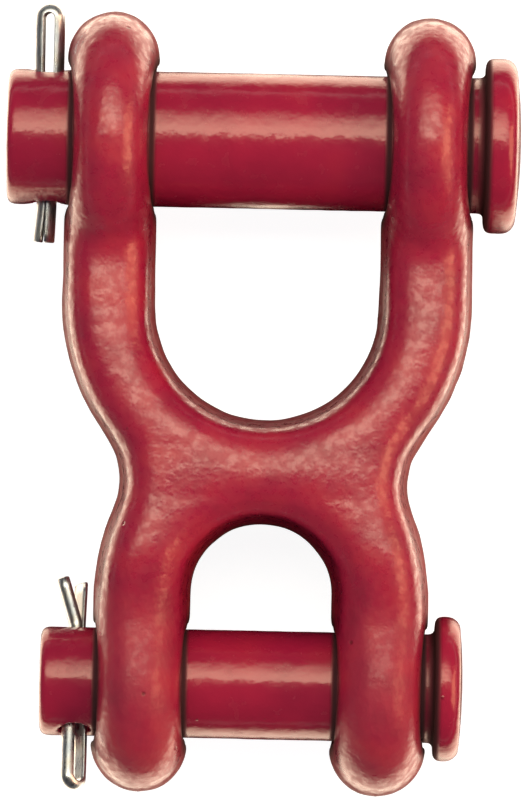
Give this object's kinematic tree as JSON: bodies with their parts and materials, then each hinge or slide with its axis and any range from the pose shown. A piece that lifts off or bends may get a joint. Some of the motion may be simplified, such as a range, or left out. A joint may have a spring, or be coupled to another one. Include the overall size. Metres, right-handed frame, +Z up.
{
  "type": "double clevis link",
  "caption": "Forged H-shaped chain link with a large and a small clevis back to back, each closed by a headed pin that a split cotter retains.",
  "frame": {"origin": "on the axis of the large pin, midway between the ears of the large clevis", "axes": "+X along the pins towards their heads, +Y along the link towards the large clevis, +Z up from the back that the link lies on"},
  "size_m": [0.0749, 0.115, 0.0368],
  "materials": {
    "red_enamel": "gloss red enamel over forged steel",
    "zinc_wire": "bright zinc plate on half-round steel wire"
  },
  "bodies": {
    "link": {"link_body": "red_enamel"},
    "large_pin": {"large_pin": "red_enamel", "large_cotter": "zinc_wire"},
    "small_pin": {"small_pin": "red_enamel", "small_cotter": "zinc_wire"}
  },
  "joints": [
    {"name": "large_pin_spin", "type": "hinge", "parent": "link", "child": "large_pin", "pos_m": [0, 0, 0], "axis": [1, 0, 0], "continuous": true},
    {"name": "small_pin_spin", "type": "hinge", "parent": "link", "child": "small_pin", "pos_m": [0, -0.0795, 0], "axis": [1, 0, 0], "continuous": true}
  ]
}
